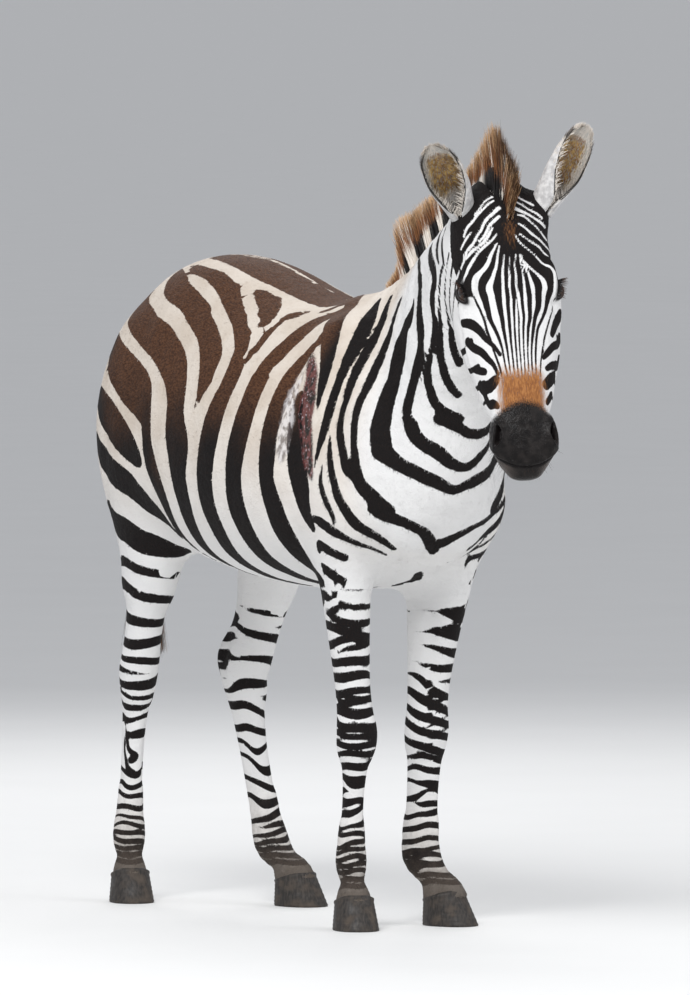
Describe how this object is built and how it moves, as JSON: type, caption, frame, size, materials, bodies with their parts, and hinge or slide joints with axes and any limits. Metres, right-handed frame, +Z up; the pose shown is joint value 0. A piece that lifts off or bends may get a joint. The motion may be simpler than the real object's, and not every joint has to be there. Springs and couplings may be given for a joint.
{
  "type": "plains zebra",
  "caption": "Life-size still model of a young plains zebra, standing with one hind foot forward and its head turned to its right.",
  "frame": {"origin": "on the floor, halfway between the muzzle and the back of the tail and halfway between the two sides", "axes": "+X towards the chest and head, +Y to the animal's left, +Z up"},
  "size_m": [1.6841, 0.476, 1.5331],
  "materials": {
    "coat": "short lying hair, striped in dark brown on cream",
    "hair": "coarse upright hair",
    "hoof": "dull dark horn",
    "eye": "wet, near black"
  },
  "bodies": {
    "root": {"trunk": "coat", "neck": "coat", "head": "coat", "ear_left": "coat", "ear_right": "coat", "eye_left": "eye", "eye_right": "eye", "mane": "hair", "forelock": "hair", "foreleg_left_upper": "coat", "foreleg_left_lower": "coat", "foreleg_right_upper": "coat", "foreleg_right_lower": "coat", "hindleg_left_upper": "coat", "hindleg_left_lower": "coat", "hindleg_right_upper": "coat", "hindleg_right_lower": "coat", "hoof_fore_left": "hoof", "hoof_fore_right": "hoof", "hoof_hind_left": "hoof", "hoof_hind_right": "hoof", "tail_dock": "coat", "tail_tuft": "hair"}
  },
  "joints": []
}
